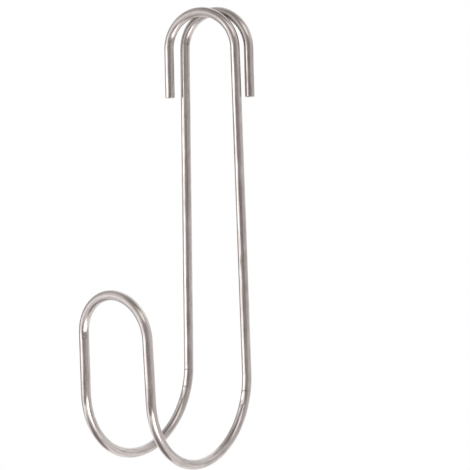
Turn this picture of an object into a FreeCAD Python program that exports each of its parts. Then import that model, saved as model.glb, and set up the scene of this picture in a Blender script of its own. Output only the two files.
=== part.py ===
import FreeCAD, Part
import math
import os

# Hose hanger, bent from one length of round stainless steel rod.
#
# Two hooks at the top straddle a pipe. Two long legs run down from them, turn forward
# through the trough that carries the coiled hose, rise at the front and meet in a loop
# that keeps the coil from slipping off.
#
# Millimetres, +Z up, the front towards -Y. The origin is the point of the pipe that the
# hooks bear on: under their crowns, midway between the legs, in the plane of the legs.

# Rod
rod_diameter = 6.0
end_bevel = 0.5             # narrow bevel round the sawn ends

# Inside radii of the bends
loop_inside_radius = 22.0
trough_inside_radius = 44.0
hook_inside_radius = 20.0

# Straight runs
front_length = 36.0         # each strand between the front loop and the trough
leg_length = 202.0          # each long leg
tail_length = 30.0          # each free end past its hook

# Turns, in degrees
loop_flare = 1.0            # each front strand opens out from upright by this
trough_toe = 1.3            # each trough bend turns in by this, to draw the legs together
trough_turn = 179.0
hook_turn = 178.8

# Crossing of the two hooks
hook_gap = 0.4              # clear space between them where they pass
hook_skew = 2.0             # degrees that the front hook swings out more than their mean

UP = FreeCAD.Vector(0, 0, 1)
BACK = FreeCAD.Vector(0, 1, 0)
RIGHT = FreeCAD.Vector(1, 0, 0)
ORIGIN = FreeCAD.Vector(0, 0, 0)


def turned(vector, axis, degrees):
    """The vector turned about an axis through the origin."""
    return FreeCAD.Rotation(axis, degrees).multVec(vector)


def squared(vector, heading):
    """The unit part of a vector that is square to the heading."""
    return (vector - heading * vector.dot(heading)).normalize()


class Bender:
    """Lays down the rod's centreline: feed for a straight run, bend for an arc.

    Each arc starts along the present heading, so every run meets its bends tangentially,
    and the side that the rod is bent towards can point any way round the heading."""

    def __init__(self, point, heading):
        self.point = point
        self.heading = heading
        self.edges = []

    def feed(self, length):
        """A straight run."""
        end = self.point + self.heading * length
        self.edges.append(Part.LineSegment(self.point, end).toShape())
        self.point = end

    def bend(self, towards, radius, degrees):
        """An arc of the given centreline radius, bent towards a direction."""
        normal = squared(towards, self.heading)
        axis = self.heading.cross(normal)
        centre = self.point + normal * radius
        spoke = self.point - centre
        middle = centre + turned(spoke, axis, degrees / 2)
        end = centre + turned(spoke, axis, degrees)
        self.edges.append(Part.Arc(self.point, middle, end).toShape())
        self.crown = centre + squared(UP, axis) * radius
        self.heading = turned(self.heading, axis, degrees)
        self.point = end


def lay_leg(side):
    """Half the rod, from the middle of the front loop to the top of one leg.

    side is 1 for the right-hand half and -1 for the left-hand one."""
    half = Bender(ORIGIN, RIGHT * side)
    half.bend(UP * -1, loop_inside_radius + rod_diameter / 2, 90 - loop_flare)
    half.feed(front_length)
    inwards = turned(squared(BACK, half.heading), half.heading, -side * trough_toe)
    half.bend(inwards, trough_inside_radius + rod_diameter / 2, trough_turn)
    half.feed(leg_length)
    return half


def lay_hook(leg, side, swing):
    """The hook over the pipe, towards the other leg, and the free end.

    swing is how far it leaves the plane of the legs, in degrees: forwards from the
    right-hand leg and backwards from the left-hand one."""
    hook = Bender(leg.point, leg.heading)
    across = turned(RIGHT * -side, UP, swing)
    hook.bend(across, hook_inside_radius + rod_diameter / 2, hook_turn)
    hook.feed(tail_length)
    return hook


def lay_hooks(legs, swing):
    """Both hooks at a mean swing, the front one first."""
    front = lay_hook(legs[0], 1, swing + hook_skew)
    rear = lay_hook(legs[1], -1, swing - hook_skew)
    return front, rear


def clear_swing(legs):
    """The mean swing at which the hooks pass each other at the gap, found by halving."""
    low, high = 0, 60
    for step in range(24):
        swing = (low + high) / 2
        front, rear = [
            Part.Wire(leg.edges[-1:] + hook.edges)
            for leg, hook in zip(legs, lay_hooks(legs, swing))
        ]
        if front.distToShape(rear)[0] < rod_diameter + hook_gap:
            low = swing
        else:
            high = swing
    return high


def sweep(edges, start):
    """The round section swept along the whole centreline, from one free end to the other."""
    section = Part.Circle(start.point, start.heading, rod_diameter / 2).toShape()
    return Part.Wire(edges).makePipe(Part.Face(Part.Wire(section)))


def bevel_ends(rod, ends):
    """Bevel the rims of the two sawn ends."""
    rims = [
        edge for edge in rod.Edges
        if any(edge.BoundBox.Center.distanceToPoint(end) < rod_diameter / 100 for end in ends)
    ]
    return rod.makeChamfer(end_bevel, rims)


def stand(rod, leg, hooks):
    """Turn the rod so that its legs stand upright, and bring the bearing point to the origin."""
    top = leg.point
    lean = math.degrees(math.atan2(leg.heading.y, leg.heading.z))
    height = min(turned(hook.crown, RIGHT, lean).z for hook in hooks)
    rod.rotate(ORIGIN, RIGHT, lean)
    rod.translate(BACK * -turned(top, RIGHT, lean).y)
    rod.translate(UP * (rod_diameter / 2 - height))
    return rod


legs = lay_leg(1), lay_leg(-1)
swing = clear_swing(legs)
front, rear = lay_hooks(legs, swing)
edges = (legs[1].edges + rear.edges)[::-1] + legs[0].edges + front.edges
rod = bevel_ends(sweep(edges, rear), (front.point, rear.point))
rod = stand(rod, legs[0], (front, rear))

os.makedirs("parts", exist_ok=True)
rod.exportStep("parts/bent_rod.step")

length = sum(edge.Length for edge in edges)
print("mean swing", round(swing, 3), "rod length", round(length, 1))
print("volume", round(rod.Volume, 1), "section by length", round(length * math.pi * rod_diameter**2 / 4, 1))
print("valid", rod.isValid(), "solids", len(rod.Solids), "faces", len(rod.Faces))
print("box", rod.BoundBox)
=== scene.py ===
# %% [markdown]
# # A hose hanger, bent from one steel rod
#
# The real hanger is about a metre of 6 mm round stainless steel rod. It is sawn off at
# both ends and bent cold: a loop at the front, a deep trough that carries the load, two
# long legs, and two hooks that go over a pipe and cross as they pass.
#
# The imported model is the fixed frame that the looks are built around. It is loaded
# first.

# %% Load the frame
import math
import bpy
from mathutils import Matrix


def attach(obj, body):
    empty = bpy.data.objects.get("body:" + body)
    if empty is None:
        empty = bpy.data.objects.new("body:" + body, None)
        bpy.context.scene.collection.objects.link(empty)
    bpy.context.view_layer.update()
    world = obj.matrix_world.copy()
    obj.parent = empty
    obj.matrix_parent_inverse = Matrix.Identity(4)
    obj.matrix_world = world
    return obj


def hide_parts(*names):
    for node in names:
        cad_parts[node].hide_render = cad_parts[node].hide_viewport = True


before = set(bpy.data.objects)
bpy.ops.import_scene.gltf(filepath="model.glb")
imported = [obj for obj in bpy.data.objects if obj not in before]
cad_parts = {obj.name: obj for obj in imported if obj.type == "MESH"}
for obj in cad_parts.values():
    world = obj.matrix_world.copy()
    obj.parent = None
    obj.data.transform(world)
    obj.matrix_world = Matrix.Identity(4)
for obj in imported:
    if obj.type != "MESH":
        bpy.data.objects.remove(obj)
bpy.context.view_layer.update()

from types import SimpleNamespace

import bpy
import numpy as np
from mathutils import Matrix

# %% [markdown]
# ## The sizes of the rod
#
# These are the sizes that a maker would write on the drawing, in millimetres and
# degrees. They are the same as the solid's, so the new surface lies on the old one.
# Everything that follows is worked out from them.

# %% Sizes
MM = 0.001

rod_radius = 3.0
end_bevel = 0.5

loop_radius = 22.0 + rod_radius     # to the rod's centreline
trough_radius = 44.0 + rod_radius
hook_radius = 20.0 + rod_radius

front_length = 36.0
leg_length = 202.0
tail_length = 30.0

loop_flare = 1.0
trough_toe = 1.3
trough_turn = 179.0
hook_turn = 178.8
hook_gap = 0.4
hook_skew = 2.0

UP, BACK, RIGHT = np.array([[0.0, 0, 1], [0, 1, 0], [1, 0, 0]])
print("rod", 2 * rod_radius, "mm thick, bends", loop_radius, trough_radius, hook_radius, "mm")

# %% [markdown]
# ## The line that the rod follows
#
# On the bench the rod is fed forward and bent, fed and bent. Drawing the line as a free
# curve through points would give bends whose radius wanders. So the code does what the
# bench does: each run starts where the last one ended, along the heading it left.
#
# A straight run is a bend with no curvature, so one formula serves both. Each run also
# carries a direction beside the rod, which turns with the bends and never twists. The
# rod's section is laid out from it.

# %% Turn a vector
def turned(vector, axis, degrees):
    """The vector turned about a unit axis: the part along the axis stays, and the rest
    goes round by the angle."""
    turn = math.radians(degrees)
    along = np.outer(vector @ axis, axis).reshape(np.shape(vector))
    return along + (vector - along) * math.cos(turn) + np.cross(axis, vector) * math.sin(turn)


def squared(vector, heading):
    """The unit part of a vector that is square to the heading."""
    rest = vector - heading * (vector @ heading)
    return rest / np.linalg.norm(rest)


# %% One run of the rod
class Run(SimpleNamespace):
    """A straight run or an arc, of a given curvature, towards one side of its heading."""

    def at(self, s):
        """Points, headings, directions beside the rod and bends at distances s along the run.

        With t the angle turned so far, the point has gone s·sin(t)/t ahead and
        s·(1 - cos(t))/t aside. The heading turns by t towards the side. The bend is the
        curvature, in 1/mm, times the direction that the rod is bent to."""
        t = (self.curvature * s)[:, None]
        s = s[:, None]
        ahead = s * np.sinc(t / np.pi)
        aside = s * np.sin(t / 2) * np.sinc(t / 2 / np.pi)
        point = self.point + self.heading * ahead + self.side * aside
        heading = self.heading * np.cos(t) + self.side * np.sin(t)
        inwards = self.beside @ self.side
        beside = self.beside + inwards * (
            self.side * (np.cos(t) - 1) - self.heading * np.sin(t)
        )
        bend = self.curvature * (self.side * np.cos(t) - self.heading * np.sin(t))
        return point, heading, beside, bend


# %% Feed and bend
class Bender:
    """Lays run after run, and keeps the point, the heading and the direction beside."""

    def __init__(self, point, heading, beside):
        self.point, self.heading, self.beside = point, heading, beside
        self.runs = []

    def lay(self, side, curvature, length):
        """A run from the present point. Its end becomes the new point and heading."""
        run = Run(
            point=self.point, heading=self.heading, beside=self.beside,
            side=side, curvature=curvature, length=length,
        )
        self.runs.append(run)
        self.point, self.heading, self.beside = (row[0] for row in run.at(np.array([length]))[:3])

    def feed(self, length):
        """A straight run."""
        self.lay(np.zeros(3), 0.0, length)

    def bend(self, towards, radius, degrees):
        """An arc of the given centreline radius, bent towards a direction."""
        side = squared(towards, self.heading)
        axis = np.cross(self.heading, side)
        self.crown = self.point + side * radius + squared(UP, axis) * radius
        self.lay(side, 1 / radius, radius * math.radians(degrees))


# %% [markdown]
# ## Two halves from the middle of the front loop
#
# The hanger is nearly symmetric, so it is laid out as two halves that start at the top
# of the front loop and run apart. Only the hooks differ: each leans across its leg's
# plane, one forwards and one backwards, so that they pass each other.

# %% Lay a leg and its hook
def lay_leg(side):
    """Half the rod up to the top of its leg; side is 1 for the right and -1 for the left."""
    half = Bender(np.zeros(3), RIGHT * side, -BACK)
    half.bend(-UP, loop_radius, 90 - loop_flare)
    half.feed(front_length)
    inwards = turned(squared(BACK, half.heading), half.heading, -side * trough_toe)
    half.bend(inwards, trough_radius, trough_turn)
    half.feed(leg_length)
    return half


def lay_hook(leg, side, swing):
    """The hook, swung out of the legs' plane by some degrees, and its free end."""
    hook = Bender(leg.point, leg.heading, leg.beside)
    hook.bend(turned(RIGHT * -side, UP, swing), hook_radius, hook_turn)
    hook.feed(tail_length)
    return hook


def lay_hooks(legs, swing):
    """Both hooks, the front one first: at the mean swing, plus and less the skew."""
    front = lay_hook(legs[0], 1, swing + hook_skew)
    rear = lay_hook(legs[1], -1, swing - hook_skew)
    return front, rear


legs = lay_leg(1), lay_leg(-1)
print("leg tops", [leg.point.round(2).tolist() for leg in legs])

# %% [markdown]
# ## How far the hooks swing apart
#
# The hooks pass with a hair's breadth between them. No simple formula gives the swing
# for that, so it is found by halving: the swing is tried, the shortest distance between
# the two centrelines is measured, and the range is cut in two.

# %% Find the swing
passing_depth = 30.0                # the hooks pass no lower than this below the legs' tops
halvings = 16


def points_of(runs, step=0.25):
    """Points every so often along some runs."""
    return np.vstack([run.at(np.arange(0, run.length, step))[0] for run in runs])


def distance_between(front, rear):
    """The shortest distance between the points of the two hooks, each with its leg. The
    square of the distance between two points a and b is a² + b² - 2a·b."""
    a, b = (points_of(leg.runs[-1:] + hook.runs) for leg, hook in zip(legs, (front, rear)))
    a, b = (p[p[:, 2] > legs[0].point[2] - passing_depth] for p in (a, b))
    square = (a**2).sum(1)[:, None] + (b**2).sum(1) - 2 * a @ b.T
    return math.sqrt(square.min())


low, high = 0.0, 60.0               # degrees
for halving in range(halvings):
    swing = (low + high) / 2
    if distance_between(*lay_hooks(legs, swing)) < 2 * rod_radius + hook_gap:
        low = swing
    else:
        high = swing

hooks = lay_hooks(legs, high)
clear_gap = distance_between(*hooks) - 2 * rod_radius
print("mean swing", round(high, 3), "clear gap", round(clear_gap, 3))

# %% [markdown]
# ## The whole line, standing as it hangs
#
# The distance s along the rod is counted from the middle of the front loop: to the right
# half it grows, and to the left half it falls below nothing. The finished line is turned
# until its legs hang plumb, and moved until the hooks' inner crowns rest at the origin.

# %% Whole line
halves = [leg.runs + hook.runs for leg, hook in zip(legs, hooks)]
half_length = sum(run.length for run in halves[0])
lean = math.degrees(math.atan2(legs[0].heading[1], legs[0].heading[2]))
crown = min(turned(hook.crown, RIGHT, lean)[2] for hook in hooks)
drop = np.array([0, -turned(legs[0].point, RIGHT, lean)[1], rod_radius - crown])


def rod_at(s):
    """Points, headings, directions beside the rod and bends at distances s from its middle."""
    found = np.zeros((4, len(s), 3))
    for runs, way in zip(halves, (1, -1)):
        starts = np.cumsum([0] + [run.length for run in runs[:-1]])
        mine = s * way >= 0
        run_of = np.searchsorted(starts, s * way, side="right") - 1
        for number, (run, start) in enumerate(zip(runs, starts)):
            here = mine & (run_of == number)
            point, heading, beside, bend = run.at(s[here] * way - start)
            found[:, here] = point, heading * way, beside, bend
    return [turned(rows, RIGHT, lean) + shift for rows, shift in zip(found, (drop, 0, 0, 0))]


def curvature_at(s):
    """The length of the bend, in 1/mm: nothing on a straight run."""
    return np.linalg.norm(rod_at(s)[3], axis=1)


print("rod length", round(2 * half_length, 1), "mm")

# %% [markdown]
# ## Marks of the bending tools
#
# The rod is held in steel jaws while it is bent, and their edges cut fine lines into it
# just inside the ends of the bends. A dragged tool leaves short grooves. The jaws also
# press shallow prints into the rod, steep on one side and drawn out on the other, which
# catch the light and end it abruptly. All of them could be a bump in the steel's finish,
# but then the mesh wouldn't have them. So each is a dent in the surface with soft sides,
# written as a bell over the distance and the angle.

# %% Tool marks
# Each row: the distance along the rod and the angle round it of the deepest place, the
# half lengths before and after it, the half width in degrees, and the depth
tool_marks = np.array([
    # across the foot of the right-hand leg, and two drags below it
    (210.2, 172, 0.40, 0.40, 75, 0.07),
    (209.2, 150, 0.90, 0.90, 24, 0.05),
    (202.5, 150, 1.10, 1.10, 10, 0.07),
    # across the foot of the left-hand leg, and a drag below it
    (-219.0, 180, 0.36, 0.36, 40, 0.07),
    (-207.5, 190, 0.42, 0.42, 60, 0.07),
    (-201.5, 205, 1.00, 1.00, 10, 0.06),
    # grooves and chatter in the right-hand trough bend
    (171.0, 231, 2.60, 2.60, 5, 0.05),
    (165.0, 231, 2.20, 2.20, 4, 0.04),
    (177.0, 158, 0.30, 0.30, 22, 0.03),
    (179.5, 165, 0.30, 0.30, 28, 0.03),
    (181.5, 160, 0.30, 0.30, 18, 0.03),
    # where the front loop and the two hooks begin or end
    (-41.1, 51, 0.50, 0.50, 16, 0.07),
    (489.9, 141, 0.40, 0.40, 40, 0.05),
    (-427.3, 112, 0.40, 0.40, 40, 0.05),
])
# Rows of the same kind
jaw_prints = np.array([
    (201.6, 180, 1.5, 6.2, 28, 0.46),
    (-199.8, 192, 5.6, 1.5, 26, 0.42),
    (489.4, 145, 5.5, 0.9, 28, 0.32),
    (-427.9, 112, 5.5, 0.9, 28, 0.32),
    (-40.9, 55, 0.9, 6.0, 24, 0.34),
])


def dent(s, angle, at, side, before, after, half_wide, deep):
    """The depth times exp(-(distance/length)²) times exp(-(turn/width)²). The length
    differs before and after the deepest place, and the turn goes the short way round."""
    turn = (np.degrees(angle) - side + 180) % 360 - 180
    gone = s[:, None] - at
    length = np.where(gone < 0, before, after)
    return deep * np.exp(-(gone / length) ** 2 - (turn / half_wide) ** 2)


def depth_of(dents, s, angle):
    """How deep some dents are together, in mm: their sum."""
    return sum(dent(s, angle, *row) for row in dents)


print(len(tool_marks), "tool marks, the deepest", tool_marks[:, -1].max(), "mm")
print(len(jaw_prints), "jaw prints, the deepest", jaw_prints[:, -1].max(), "mm")

# %% [markdown]
# ## Where the rings go
#
# The surface is a stack of rings along the line. Straight runs need few, bends need one
# for every couple of degrees, and the cut ends and the tool marks need the closest of
# all. Equal steps would starve the marks or crowd the legs. So a density is added up
# along the rod, and the rings are set at equal steps of the sum. The rings of the cut
# ends are listed one by one.

# %% Ring places
ring_count = 1000
straight_density, bend_density, mark_density = 0.35, 1.1, 5.0
mark_reach = 1.2                    # mm
sample_count = 40001

fine = np.linspace(-half_length, half_length, sample_count)
mark_places = np.append(tool_marks[:, 0], jaw_prints[:, 0])
near_mark = np.abs(fine[:, None] - mark_places).min(1)
density = np.where(curvature_at(fine) > 0, bend_density, straight_density)
total = np.cumsum(density + mark_density * np.exp(-(near_mark / mark_reach) ** 2))
s_side = np.interp(np.linspace(total[0], total[-1], ring_count), total, fine)
s_side = s_side[np.abs(s_side) < half_length - 2 * end_bevel]

# From the rim of the bevel to the middle of the sawn face: depth and radius
end_depth = np.array([0.95, 0.62, 0.52, 0.46, 0.28, 0.08, 0.03, 0.0, 0.0, 0.0, 0.0])
end_radius = np.array([3.0, 3.0, 2.985, 2.95, 2.78, 2.58, 2.53, 2.46, 2.3, 1.6, 0.8])
s_rings = np.concatenate([end_depth[::-1] - half_length, s_side, half_length - end_depth])
r_rings = np.concatenate([end_radius[::-1], np.full(len(s_side), rod_radius), end_radius])
print("rings", len(s_rings))

# %% [markdown]
# ## The rod's surface
#
# A curve with a round bevel would give the tube at once, but neither the dents nor the
# flattening. So a point of the surface is a function of two numbers: the distance s
# along the rod and the angle round it. The section is a circle. Where the rod is bent
# cold it flattens a little in the plane of the bend, which shows in how the light runs
# round the bends.

# %% Surface of the rod
around_count = 72
flattening = 0.05                   # mm off the radius in the tightest bends
tuck = 0.012                        # mm that keeps the surface inside the solid's box


def ways_out(heading, beside, angle):
    """Unit directions out of the rod: cos(angle)·beside + sin(angle)·across."""
    across = np.cross(heading, beside)
    return (
        np.cos(angle)[None, :, None] * beside[:, None]
        + np.sin(angle)[None, :, None] * across[:, None]
    )


def rod_surface(s, radius, angle):
    """The centre plus the radius times the way out, less the dents, and less the
    flattening times the square of the cosine between the way out and the bend."""
    centre, heading, beside, bend = rod_at(s)
    out = ways_out(heading, beside, angle)
    pressed = (out * (bend * hook_radius)[:, None]).sum(2) ** 2 * flattening
    worn = pressed + depth_of(tool_marks, s, angle) + depth_of(jaw_prints, s, angle)
    return centre[:, None] + out * (radius[:, None] - worn)[..., None]


angles = np.linspace(0, 2 * np.pi, around_count, endpoint=False)
surface = rod_surface(s_rings, r_rings - tuck, angles) * MM
print("surface grid", surface.shape)

# %% [markdown]
# ## How the metal is worn
#
# Bending also changes the gloss. The groove of the die rubs the two sides of a bend. The
# crowns of the three loops, where the metal is stretched and handled most, look softer.
# The bottom of a tool mark is dull. This could be painted on by hand, but a formula puts
# it where the tools were, whatever the sizes. Each kind of wear is a number at every
# point of the surface, 0 where the metal is untouched and about 1 where it is worst, and
# the steel reads it further down.

# %% Worn metal
stretch_reach = 5.0                 # mm to each side, over which a bend comes and goes
stretch_samples = 21
hook_crown = half_length - tail_length - hook_radius * math.radians(hook_turn) / 2
soft_crowns = np.array([(0, 34), (hook_crown, 20), (-hook_crown, 20)])  # place and reach
tiny = 1e-9                         # keeps a straight run from dividing by nothing


def bending_at(s):
    """How hard the rod was bent near s, from 0 on a straight run to 1 in the tightest
    bend: the mean curvature over a reach to each side, as a share of the hooks'."""
    near = np.linspace(-stretch_reach, stretch_reach, stretch_samples)
    curvature = curvature_at((s[:, None] + near).ravel())
    return curvature.reshape(len(s), -1).mean(1) * hook_radius


def rubbed_at(s, angle):
    """How much the die's groove rubs the sides of a bend: the square of how hard the
    rod is bent, times the fourth power of how squarely a side faces the groove's wall."""
    centre, heading, beside, bend = rod_at(s)
    wall = np.cross(heading, bend) / np.maximum(np.linalg.norm(bend, axis=1), tiny)[:, None]
    facing_wall = (ways_out(heading, beside, angle) * wall[:, None]).sum(2)
    return bending_at(s)[:, None] ** 2 * facing_wall**4


def softened_at(s, angle):
    """How much the crowns of the loops have lost their gloss, all round the rod: one
    less the square of the distance from the crown over its reach, and never below nil."""
    away = (s[:, None] - soft_crowns[:, 0]) / soft_crowns[:, 1]
    return np.outer(np.clip(1 - away**2, 0, 1).sum(1), np.ones(len(angle)))


wear = {
    "rubbed": rubbed_at(s_rings, angles),
    "softened": softened_at(s_rings, angles),
    "scratched": depth_of(tool_marks, s_rings, angles) / tool_marks[:, -1].max(),
}
print("most worn", {kind: round(float(most.max()), 2) for kind, most in wear.items()})

# %% [markdown]
# ## The mesh
#
# Each square of the grid becomes a face, the last column joins the first, and one point
# at each end closes the sawn face. The UV map holds the distance along the rod in
# metres and the share of a turn round it, for the patterns that follow the rod.

# %% Faces and map of a closed tube
def tube_faces(n, m):
    """The faces of n rings of m points: a square from each point to the next one round
    and the next ring, and at both ends a triangle from each side to the end point."""
    i, j = np.meshgrid(np.arange(n - 1), np.arange(m), indexing="ij")
    k = (j + 1) % m
    squares = np.stack([i * m + j, i * m + k, (i + 1) * m + k, (i + 1) * m + j], -1)
    j, k = np.arange(m), (np.arange(m) + 1) % m
    first = np.stack([k, j, np.full(m, n * m)], -1)
    last = np.stack([(n - 1) * m + j, (n - 1) * m + k, np.full(m, n * m + 1)], -1)
    return squares.reshape(-1, 4).tolist() + first.tolist() + last.tolist()


def tube_map(s, m):
    """The map at the corners of those faces: u is the distance along the rod in metres,
    and v is the share of a turn. An end point takes the middle of its triangle's side."""
    along, place = np.meshgrid(s * MM, np.arange(m) / m, indexing="ij")
    step = 1 / m
    u = np.stack([along[:-1], along[:-1], along[1:], along[1:]], -1)
    v = np.stack([place[:-1], place[:-1] + step, place[:-1] + step, place[:-1]], -1)
    rim = np.arange(m) / m
    v_first = np.stack([rim + step, rim, rim + step / 2], -1)
    v_last = np.stack([rim, rim + step, rim + step / 2], -1)
    u = np.concatenate([u.ravel(), np.repeat(s[[0, -1]] * MM, 3 * m)])
    v = np.concatenate([v.ravel(), v_first.ravel(), v_last.ravel()])
    return np.stack([u, v], -1).astype(np.float32)


# %% [markdown]
# ## From rings to a closed piece
#
# The rings, the faces and the map come together in one mesh. The kinds of wear are kept
# at its points. The volume is measured and printed beside the plain rod's: a little
# under it, and above nothing, shows that the faces point outwards.

# %% Mesh from rings
def closed_tube(name, rings, s, point_values):
    """A closed mesh from rings of points (ring, place, xyz) with a point at each end.

    point_values holds qualities to keep at the points, such as how rubbed the metal is."""
    n, m = rings.shape[:2]
    ends = rings[[0, -1]].mean(1)
    mesh = bpy.data.meshes.new(name)
    mesh.from_pydata(np.vstack([rings.reshape(-1, 3), ends]), [], tube_faces(n, m))
    for quality, values in point_values.items():
        spread = mesh.attributes.new(quality, "FLOAT", "POINT")
        spread.data.foreach_set("value", np.append(values.ravel(), values[[0, -1], 0]))
    layer = mesh.uv_layers.new(name="rod")
    layer.uv.foreach_set("vector", tube_map(s, m).ravel())
    mesh.shade_smooth()
    mesh.update()
    piece = bpy.data.objects.new(name, mesh)
    bpy.context.scene.collection.objects.link(piece)
    return piece


def volume_of(mesh):
    """The volume inside a closed mesh, above nothing if its faces point outwards: a
    sixth of the sum of a·(b × c) over its triangles."""
    mesh.calc_loop_triangles()
    corner = np.zeros(len(mesh.vertices) * 3)
    mesh.vertices.foreach_get("co", corner)
    face = np.zeros(len(mesh.loop_triangles) * 3, int)
    mesh.loop_triangles.foreach_get("vertices", face)
    a, b, c = corner.reshape(-1, 3)[face.reshape(-1, 3)].transpose(1, 0, 2)
    return (a * np.cross(b, c)).sum() / 6


# %% [markdown]
# ## The rod in the frame
#
# The new surface stands in for the solid, which is hidden, and moves with the hanger's
# one body.

# %% Build the rod
hanger = closed_tube("hanger_rod", surface, s_rings, wear)
volume = volume_of(hanger.data) / MM**3
plain_volume = math.pi * rod_radius**2 * 2 * half_length
print(len(hanger.data.polygons), "faces round", round(volume, 1), "mm³")
print("a plain rod has", round(plain_volume, 1), "mm³")

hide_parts("bent_rod")
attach(hanger, "root")

# %% [markdown]
# ## Nodes written as sums
#
# A material is a graph of nodes. Written out node by node it is long and hard to read,
# so a small class wraps a socket: adding or multiplying two of them adds the Math node.
# Every other node comes from one method.

# %% Shader helpers
class Wire:
    """A socket that can be added, taken away, multiplied, divided and raised."""

    def __init__(self, finish, socket):
        self.finish, self.socket = finish, socket

    def maths(self, operation, *values):
        """A Math node that works on some values, in their order."""
        return self.finish.node("Math", {"operation": operation}, dict(enumerate(values)))

    def __add__(self, other): return self.maths("ADD", self, other)
    def __radd__(self, other): return self.maths("ADD", other, self)
    def __sub__(self, other): return self.maths("SUBTRACT", self, other)
    def __rsub__(self, other): return self.maths("SUBTRACT", other, self)
    def __mul__(self, other): return self.maths("MULTIPLY", self, other)
    def __rmul__(self, other): return self.maths("MULTIPLY", other, self)
    def __truediv__(self, other): return self.maths("DIVIDE", self, other)
    def __rtruediv__(self, other): return self.maths("DIVIDE", other, self)
    def __pow__(self, other): return self.maths("POWER", self, other)
    def __rpow__(self, other): return self.maths("POWER", other, self)


class Finish:
    """The node graph of a material or of the world."""

    def __init__(self, owner):
        owner.use_nodes = True
        self.tree = owner.node_tree
        self.tree.nodes.clear()

    def node(self, kind, settings=None, sockets=None, output=0):
        """A new node: its settings first, then the values or links of its sockets. What
        comes back is one output, by its number or name."""
        new = self.tree.nodes.new("ShaderNode" + kind)
        for name, value in (settings or {}).items():
            setattr(new, name, value)
        for name, value in (sockets or {}).items():
            if isinstance(value, Wire):
                self.tree.links.new(value.socket, new.inputs[name])
            else:
                new.inputs[name].default_value = value
        return Wire(self, new.outputs[output]) if new.outputs else new


# %% [markdown]
# ## Ramps and mixed colours
#
# Two nodes come back in nearly every finish, so each gets a short name of its own. The
# ramp is a soft one, because a hard one would show as an edge in the metal.

# %% Ramp and mix
def ramp(value, start, end, low=0.0, high=1.0):
    """A smooth step of a value, from low at the start to high at the end."""
    return value.finish.node(
        "MapRange", {"interpolation_type": "SMOOTHSTEP"},
        {"Value": value, "From Min": start, "From Max": end, "To Min": low, "To Max": high})


def mixed(share, first, second):
    """A colour between two: the first where the share is 0, the second where it is 1."""
    return share.finish.node(
        "Mix", {"data_type": "RGBA"}, {0: share, 6: first, 7: second}, output=2)


# %% [markdown]
# ## The steel
#
# Drawn stainless rod that has been lightly polished: a warm grey metal, soft enough in
# its gloss that lamps smear into bands. One even grey would look like plastic. Drawing
# leaves long hairs in the metal, polishing leaves clouds, and the rod is never quite
# true, which a very low wave stands for. The patterns are wrapped round the rod on a
# circle, so that they have no seam.

# %% Patterns on the rod
steel = bpy.data.materials.new("drawn_stainless")
metal = Finish(steel)

rod_map = metal.node("UVMap", {"uv_map": "rod"})
along = metal.node("SeparateXYZ", None, {0: rod_map}, output="X")
turn = metal.node("SeparateXYZ", None, {0: rod_map}, output="Y") * (2 * math.pi)
wrap_x, wrap_y = turn.maths("COSINE", turn), turn.maths("SINE", turn)


def pattern(wrap, stretch, **sockets):
    """Noise at the point of a circle of radius wrap, round which the rod's side goes
    once, and at stretch times the distance along the rod."""
    at = metal.node("CombineXYZ", None, {0: wrap_x * wrap, 1: wrap_y * wrap, 2: along * stretch})
    return metal.node("TexNoise", None, {"Vector": at, "Scale": 1.0, **sockets})


hair = pattern(3.6, 14, Detail=2.0)
wave = pattern(1.6, 90, Detail=0.0)
cloud = pattern(1.1, 90, Detail=4.0, Roughness=0.72)
rubbed, softened, scratched = (
    metal.node("Attribute", {"attribute_name": kind}, output="Fac") for kind in wear)
print("patterns and wear of", len(metal.tree.nodes), "nodes")

# %% [markdown]
# ## The steel's finish
#
# The hairs and clouds lighten and darken the metal in streaks and make its gloss
# uneven. Wear adds to the roughness. Grime, where polish and dirt stay behind, darkens
# the rubbed sides, and painted shade darkens the bottoms of the marks, the deeper the more.

# %% Steel
dark_steel, light_steel = (0.48, 0.437, 0.42, 1), (0.79, 0.75, 0.73, 1)
# The dark colour of the grime on the rubbed sides, and of the painted shade in the tool marks
grime_and_shade = (0.10, 0.085, 0.08, 1)
darkest, lightest = 0.38, 0.62                  # values of the pattern at the two colours
polish = 0.14                                   # roughness of the metal between the marks
dull_rubbed, dull_softened, dull_scratched = 0.20, 0.16, 0.10   # roughness that wear adds
dull_hair, dull_cloud = 0.05, 0.10              # how far the patterns change it
# The second share is painted shade: the bottoms of the tool marks darken the more, the deeper
# they are
grime_rubbed, shade_in_marks = 0.22, 0.60      # share of grime in the worn metal
wave_height = 0.0001                            # metres

uneven = (hair - 0.5) * dull_hair + (cloud - 0.5) * dull_cloud
roughness = (
    polish + rubbed * dull_rubbed + softened * dull_softened + scratched * dull_scratched
    + uneven
)
streaks = metal.node("MapRange", None, {
    "Value": cloud * 0.5 + hair * 0.5, "From Min": darkest, "From Max": lightest})
clean = mixed(streaks, dark_steel, light_steel)
# Grime on the rubbed sides, and painted shade in the tool marks by their depth
dulled_and_shaded = mixed(rubbed * grime_rubbed + scratched * shade_in_marks, clean, grime_and_shade)
bump = metal.node("Bump", None, {"Strength": 1.0, "Distance": wave_height, "Height": wave})
skin = metal.node(
    "BsdfPrincipled", None,
    {"Base Color": dulled_and_shaded, "Metallic": 1.0, "Roughness": roughness, "Normal": bump})
metal.node("OutputMaterial", None, {"Surface": skin})
hanger.data.materials.append(steel)
print("steel of", len(metal.tree.nodes), "nodes")

# %% [markdown]
# ## The camera
#
# The camera stands where the photographer stood: a long lens, a little above the middle
# of the hanger and well round to its right. Its place is written as an azimuth and an
# elevation about a point in the middle of the hanger, and the picture is 470 pixels wide.

# %% Camera
picture = 470                       # pixels
azimuth, elevation, roll = map(math.radians, (37.89, 6.33, -1.29))
middle = np.array([0, -0.047, -0.133])
distance = 0.9                      # metres
pixels_per_metre = 1654.23          # at that distance
middle_at = np.array([165.60, 237.78])      # the pixel at which the middle shows
sensor_width = 36.0                 # mm

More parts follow.
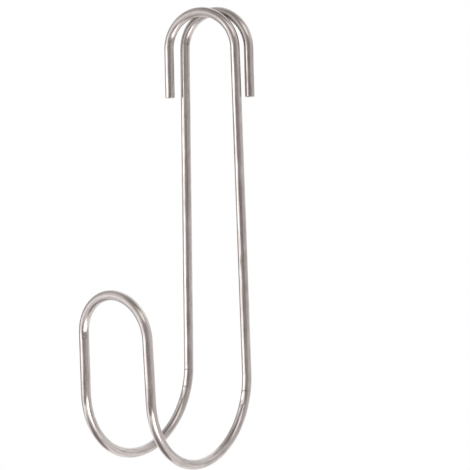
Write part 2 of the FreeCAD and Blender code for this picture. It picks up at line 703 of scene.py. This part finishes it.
forward = np.array([
    -math.sin(azimuth) * math.cos(elevation),
    math.cos(azimuth) * math.cos(elevation),
    -math.sin(elevation)])
level = np.array([math.cos(azimuth), math.sin(azimuth), 0])
upright = np.cross(level, forward)
right = level * math.cos(roll) + upright * math.sin(roll)
above = upright * math.cos(roll) - level * math.sin(roll)
off = (middle_at - picture / 2) / pixels_per_metre
eye = middle - forward * distance - right * off[0] + above * off[1]

lens = bpy.data.cameras.new("camera")
lens.sensor_width = sensor_width
lens.lens = sensor_width * pixels_per_metre * distance / picture
camera = bpy.data.objects.new("camera", lens)
camera.matrix_world = Matrix([
    [*row, at] for row, at in zip(np.stack([right, above, -forward], 1).tolist(), eye.tolist())
] + [[0, 0, 0, 1]])
bpy.context.scene.collection.objects.link(camera)
bpy.context.scene.camera = camera
print("lens", round(lens.lens, 1), "mm, at", eye.round(3).tolist())

# %% [markdown]
# ## The studio
#
# Metal shows what stands around it, so the studio is laid out for its reflections, as
# a photographer lights a spoon. White surroundings stand behind the hanger and melt
# its far edges. The room behind the camera is a warm grey, which gives the dark band
# down the middle of each strand. Directions are counted round from the camera, to the
# right, and up from the level.

# %% Directions in the studio
def studio_way(round_by, up_by):
    """The unit direction from the hanger, in degrees round from the camera and up: the
    level way to the camera turned by the one, and raised by the other."""
    a, e = math.radians(round_by), math.radians(up_by)
    to_camera = -forward * [1, 1, 0] / np.linalg.norm(forward[:2])
    return (to_camera * math.cos(a) + level * math.sin(a)) * math.cos(e) + UP * math.sin(e)


def facing(way):
    """A rotation whose Z axis points along a direction, with X level: X is up × the way."""
    x = np.cross(UP, way) / np.linalg.norm(np.cross(UP, way))
    return Matrix(np.stack([x, np.cross(way, x), way], 1).tolist())


print("way to the camera", studio_way(0, 0).round(3).tolist())

# %% [markdown]
# ## Lamps
#
# A softbox stands at the left, just in front of the hanger, and makes the long white
# line down the left of each strand. A large faint one beside it widens the line, and a
# third above it carries the line over the bends. Two warm lamps at the right, one high
# and one low, light the shoulders of the loops and the bottoms of the troughs.

# %% Softboxes
lamp_watts = 4.0                    # to the square metre, for a brightness of 1


def softbox(name, way, far, spread, brightness, colour):
    """A rectangular lamp that faces the hanger; spread is how far it reaches to each
    side of its middle, in degrees, as the hanger sees it, so a side is twice the
    distance times the tangent. The power is the brightness times the area."""
    data = bpy.data.lights.new(name, "AREA")
    data.shape = "RECTANGLE"
    data.size, data.size_y = (2 * far * math.tan(math.radians(half)) for half in spread)
    data.energy = brightness * lamp_watts * data.size * data.size_y
    data.color = colour
    lamp = bpy.data.objects.new(name, data)
    lamp.matrix_world = Matrix.Translation(middle + way * far) @ facing(way).to_4x4()
    lamp.visible_camera = False
    bpy.context.scene.collection.objects.link(lamp)
    print(name, "sides", round(data.size, 2), round(data.size_y, 2), "m")


daylight, warm, candle = (1, 1, 1), (1, 0.965, 0.935), (1, 0.95, 0.89)
softbox("softbox_left", studio_way(-64, -2), 1.5, (28, 15), 0.70, daylight)
softbox("softbox_glow", studio_way(-78, -5), 1.6, (27, 38), 0.32, daylight)
softbox("lamp_high", studio_way(24, 43), 1.5, (22, 13), 0.76, warm)
softbox("lamp_low", studio_way(24, -41.5), 0.60, (19, 14.5), 1.30, candle)
softbox("lamp_upper", studio_way(-44, 19), 1.5, (20, 9), 0.34, daylight)

# %% [markdown]
# ## The room
#
# The world is white for the camera. For the metal it is white behind the hanger and
# falls to the warm grey of the room in front, in two steps and with a darker gap at
# each side. A faint light hangs overhead, and the white fades towards straight up and
# straight down. A picture of a studio could be wrapped round the world instead. Soft
# ramps of the direction do as much here, and each can be turned and dimmed by itself.

# %% World
backdrop_level = 0.95
overhead_level = 0.20
room_least, room_more = 0.27, 0.09  # straight up or down, and what is added on the level
room_tint = (1, 0.92, 0.90)
ray_kinds = "Is Camera Ray", "Is Glossy Ray", "Is Transmission Ray"

world = bpy.data.worlds.new("studio")
bpy.context.scene.world = world
sky = Finish(world)
way = sky.node("TexCoord")
height = sky.node("SeparateXYZ", None, {0: way}, output="Z")
level_part = (1 - height * height) ** 0.5


def towards(round_by):
    """How far a direction turns towards one place round the horizon, from -1 to 1: the
    cosine of the angle between them on the level."""
    aim = {0: way, 1: tuple(studio_way(round_by, 0))}
    return sky.node("VectorMath", {"operation": "DOT_PRODUCT"}, aim, output="Value") / level_part


# Each ramp has a place round from the camera and the cosines where it starts and ends,
# or the heights where it does
around_back = 0.48 * ramp(towards(165), -0.85, -0.3) + 0.52 * ramp(towards(152), 0.2, 1.0)
gaps = 0.7 * ramp(towards(-132), 0.75, 1.0) + 0.3 * ramp(towards(102), 0.6, 1.0)
overhead = overhead_level * ramp(height, 0.1, 0.4) * (1 - ramp(towards(12), 0.2, 0.9))
near_level = ramp(height * height, 0.35, 1.15, 1.0, 0.0)
white = (around_back * (1 - gaps) + overhead) * near_level
room_level = room_least + room_more * near_level

by_camera, by_metal, by_glass = (sky.node("LightPath", output=kind) for kind in ray_kinds)
seen_white = by_camera + by_glass + by_metal * white * backdrop_level
room = sky.node("VectorMath", {"operation": "SCALE"}, {0: room_tint, "Scale": room_level})
shown = mixed(seen_white, room, (1, 1, 1, 1))
sky.node("OutputWorld", None, {"Surface": sky.node("Background", None, {"Color": shown})})
print("world of", len(sky.tree.nodes), "nodes")

# %% [markdown]
# ## The floor
#
# The hanger hangs, so the floor lies well below it. It is pale paper that keeps the
# shadow, with a little light of its own that brings it to the white of the backdrop.

# %% Flat sheets
def square_sheet(name, half, rows):
    """A flat square grid of rows × rows points, half its side to each way from its middle."""
    line = np.linspace(-half, half, rows)
    x, y = np.meshgrid(line, line)
    points = np.stack([x, y, np.zeros_like(x)], -1).reshape(-1, 3)
    i, j = np.meshgrid(np.arange(rows - 1), np.arange(rows - 1), indexing="ij")
    corner = i * rows + j
    faces = np.stack([corner, corner + 1, corner + rows + 1, corner + rows], -1)
    mesh = bpy.data.meshes.new(name)
    mesh.from_pydata(points, [], faces.reshape(-1, 4).tolist())
    piece = bpy.data.objects.new(name, mesh)
    bpy.context.scene.collection.objects.link(piece)
    return piece


def from_middle(finish):
    """The distance of a point of a sheet from the sheet's middle, in metres."""
    place = finish.node("TexCoord", output="Object")
    return finish.node("VectorMath", {"operation": "LENGTH"}, {0: place}, output="Value")


# %% [markdown]
# ## Paper under the hanger
#
# The paper's own light grows from the middle, where the lamps reach it best, towards the
# edge. It is seen by the camera and in the metal, but it lights nothing.

# %% Floor
floor_depth = 0.60
floor_reach = 0.75
floor = square_sheet("floor", floor_reach, 9)
floor.location.z = -floor_depth

paper = bpy.data.materials.new("pale_paper")
fibre = Finish(paper)
by_camera, by_metal, by_glass = (fibre.node("LightPath", output=kind) for kind in ray_kinds)
own_light = ramp(from_middle(fibre), 0.3, floor_reach - 0.05, 0.60, 0.74)
matt = fibre.node("BsdfDiffuse", None, {"Color": (0.8, 0.8, 0.8, 1)})
glow = fibre.node("Emission", None, {"Strength": (by_camera + by_metal + by_glass) * own_light})
fibre.node("OutputMaterial", None, {"Surface": fibre.node("AddShader", None, {0: matt, 1: glow})})
floor.data.materials.append(paper)
print("floor", round(2 * floor_reach, 2), "m square,", floor_depth, "m down")

# %% [markdown]
# ## A dark flag
#
# Below and to the left lies a dark card, which the camera doesn't see. It gives the
# undersides of the bends their dark edge. It thins out from near its middle to its
# edge, so that no hard line shows in the metal.

# %% Flag
flag_half = 0.42
flag_distance = 0.45
full_within = 0.04
dark_level = 0.28
way_down = studio_way(-50, -76)
turned_up = facing(way_down).to_4x4()
flag = square_sheet("flag_low", flag_half, 2)
flag.matrix_world = Matrix.Translation(middle + way_down * flag_distance) @ turned_up

card = bpy.data.materials.new("dark_card")
cloth = Finish(card)
held = ramp(from_middle(cloth), full_within, flag_half, 1.0, 0.0)
dark = cloth.node("Emission", None, {"Color": (*room_tint, 1), "Strength": dark_level})
clear = cloth.node("BsdfTransparent")
hung = cloth.node("MixShader", None, {0: held, 1: clear, 2: dark})
cloth.node("OutputMaterial", None, {"Surface": hung})
flag.data.materials.append(card)
flag.visible_camera = flag.visible_diffuse = flag.visible_shadow = False
print("flag", round(2 * flag_half, 2), "m square,", flag_distance, "m away")

# %% [markdown]
# ## Finish
#
# The colours are shown as they are, without a film look.

# %% Colour management
bpy.context.scene.view_settings.view_transform = "Standard"
